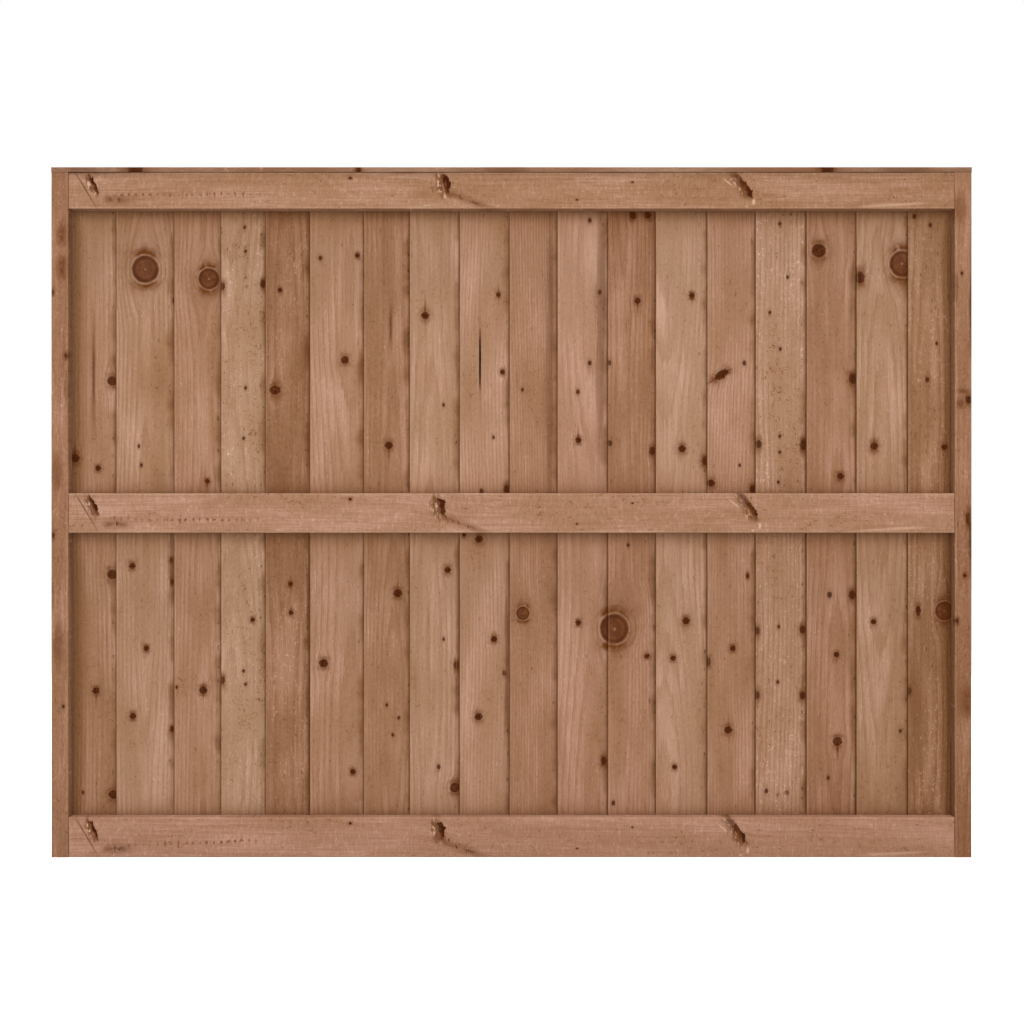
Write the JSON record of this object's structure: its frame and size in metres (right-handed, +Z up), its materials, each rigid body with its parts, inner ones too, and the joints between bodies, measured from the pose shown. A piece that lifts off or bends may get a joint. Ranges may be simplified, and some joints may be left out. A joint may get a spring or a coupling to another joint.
{
  "type": "fence panel",
  "caption": "Closeboarded timber fence panel: lapped feather-edge boards nailed to horizontal rails between side battens, with a capping strip along the top.",
  "frame": {"origin": "middle of the underside: halfway along the panel and halfway through the capping strip's depth", "axes": "+Z up, +X along the panel, -Y towards the rail side, +Y towards the board side"},
  "size_m": [1.828, 0.0562, 1.371],
  "materials": {
    "frame_timber": "sawn softwood, brown pressure treatment, eased arrises",
    "board_timber": "fine-sawn feather-edge softwood, brown pressure treatment",
    "cap_timber": "sawn softwood strip, brown pressure treatment",
    "galvanised_nails": "dull galvanised"
  },
  "bodies": {
    "root": {"left_stile": "frame_timber", "right_stile": "frame_timber", "top_rail": "frame_timber", "middle_rail": "frame_timber", "bottom_rail": "frame_timber", "board_01": "board_timber", "board_02": "board_timber", "board_03": "board_timber", "board_04": "board_timber", "board_05": "board_timber", "board_06": "board_timber", "board_07": "board_timber", "board_08": "board_timber", "board_09": "board_timber", "board_10": "board_timber", "board_11": "board_timber", "board_12": "board_timber", "board_13": "board_timber", "board_14": "board_timber", "board_15": "board_timber", "board_16": "board_timber", "board_17": "board_timber", "board_18": "board_timber", "cap_strip": "cap_timber", "frame_nails": "galvanised_nails", "board_nails": "galvanised_nails", "cap_nails": "galvanised_nails"}
  },
  "joints": []
}
